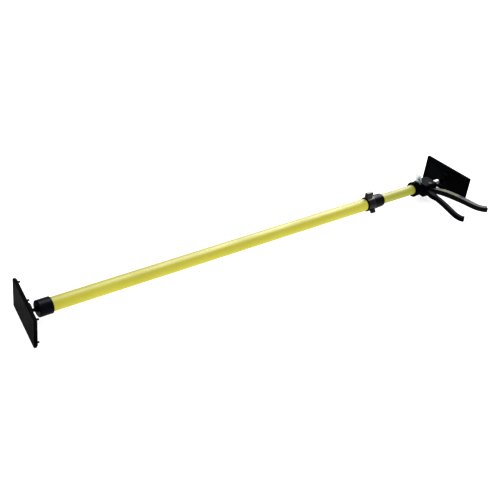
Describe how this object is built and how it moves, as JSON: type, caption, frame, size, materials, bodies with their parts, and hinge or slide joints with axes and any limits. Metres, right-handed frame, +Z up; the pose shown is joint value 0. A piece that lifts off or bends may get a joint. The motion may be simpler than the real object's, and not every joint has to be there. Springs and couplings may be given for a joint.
{
  "type": "drywall support prop",
  "caption": "Telescopic support prop with a lobed tube lock, a trigger-pumped push rod and swivelling rubber pads, for holding boards against a ceiling or wall.",
  "frame": {"origin": "point of the foot pad's contact face on the pole's axis", "axes": "+X along the pole from foot to head, +Z up as it lies on the long edges of its pads, levers towards -Y"},
  "size_m": [1.2063, 0.2378, 0.0802],
  "materials": {
    "yellow_paint": "gloss yellow paint on steel tube",
    "black_plastic": "satin black",
    "black_nylon": "glossy black, moulded",
    "black_paint": "black paint on steel sheet",
    "rubber": "smooth black rubber",
    "steel": "bright drawn steel",
    "zinc": "zinc plated",
    "liner": "dark low-friction plastic",
    "strip": "plain olive film, no print"
  },
  "bodies": {
    "outer": {"outer_tube": "yellow_paint", "foot_end_cap": "black_plastic", "foot_plug": "liner", "collar_nose": "black_plastic", "collar_snap_ring": "black_paint", "collet": "liner"},
    "lock": {"lock_ring": "black_nylon"},
    "foot_stud": {"foot_ball_stud": "black_paint", "foot_stud_nut": "zinc"},
    "foot_liner": {"foot_socket_liner": "liner"},
    "foot_pad": {"foot_socket": "black_paint", "foot_plate": "black_paint", "foot_rubber_pad": "rubber"},
    "inner": {"inner_tube": "yellow_paint", "inner_tube_guide": "liner", "pump_body": "black_nylon", "sleeve_rivets": "black_paint", "trigger_pin": "zinc", "trigger_pin_clip": "steel", "rod_guide_bush": "zinc", "drive_spring": "steel", "brake_spring": "steel"},
    "trigger": {"trigger": "black_nylon", "trigger_strip": "strip"},
    "drive": {"drive_plate": "steel"},
    "release": {"release_lever": "zinc"},
    "rod": {"push_rod": "steel", "rod_stop": "steel"},
    "head_stud": {"head_ball_stud": "black_paint"},
    "head_liner": {"head_socket_liner": "liner"},
    "head_pad": {"head_socket": "black_paint", "head_plate": "black_paint", "head_rubber_pad": "rubber"}
  },
  "joints": [
    {"name": "tube_extension", "type": "slide", "parent": "outer", "child": "inner", "axis": [1, 0, 0], "range_m": [0, 0.65]},
    {"name": "lock_turn", "type": "hinge", "parent": "outer", "child": "lock", "pos_m": [0.9111, 0, 0], "axis": [1, 0, 0], "range_deg": [0, 90]},
    {"name": "foot_swivel", "type": "hinge", "parent": "outer", "child": "foot_stud", "pos_m": [0.01366, 0, 0], "axis": [1, 0, 0], "continuous": true},
    {"name": "foot_tilt_y", "type": "hinge", "parent": "foot_stud", "child": "foot_liner", "pos_m": [0.01366, 0, 0], "axis": [0, 1, 0], "range_deg": [-17, 17]},
    {"name": "foot_tilt_z", "type": "hinge", "parent": "foot_liner", "child": "foot_pad", "pos_m": [0.01366, 0, 0], "axis": [0, 0, 1], "range_deg": [-8.27, 25.73]},
    {"name": "trigger_pull", "type": "hinge", "parent": "inner", "child": "trigger", "pos_m": [1.1035, -0.0175, 0], "axis": [0, 0, -1], "range_deg": [0, 17], "stiffness_Nm_per_rad": 0.5, "springref_deg": -25.78},
    {"name": "drive_slide", "type": "slide", "parent": "inner", "child": "drive", "axis": [1, 0, 0], "range_m": [0, 0.0052], "deforming": ["drive_spring"]},
    {"name": "release_press", "type": "hinge", "parent": "inner", "child": "release", "pos_m": [1.0758, 0, -0.0128], "axis": [0, 1, 0], "range_deg": [0, 5], "stiffness_Nm_per_rad": 0.6, "springref_deg": -17.19, "deforming": ["brake_spring"]},
    {"name": "rod_slide", "type": "slide", "parent": "inner", "child": "rod", "axis": [1, 0, 0], "range_m": [0, 0.15]},
    {"name": "head_swivel", "type": "hinge", "parent": "rod", "child": "head_stud", "pos_m": [1.1777, 0, 0], "axis": [1, 0, 0], "continuous": true},
    {"name": "head_tilt_y", "type": "hinge", "parent": "head_stud", "child": "head_liner", "pos_m": [1.1777, 0, 0], "axis": [0, 1, 0], "range_deg": [-17, 17]},
    {"name": "head_tilt_z", "type": "hinge", "parent": "head_liner", "child": "head_pad", "pos_m": [1.1777, 0, 0], "axis": [0, 0, 1], "range_deg": [-21.08, 12.92]}
  ],
  "couplings": [
    {"joint": "drive_slide", "follows": "trigger_pull", "m_per_rad": 0.0175}
  ]
}
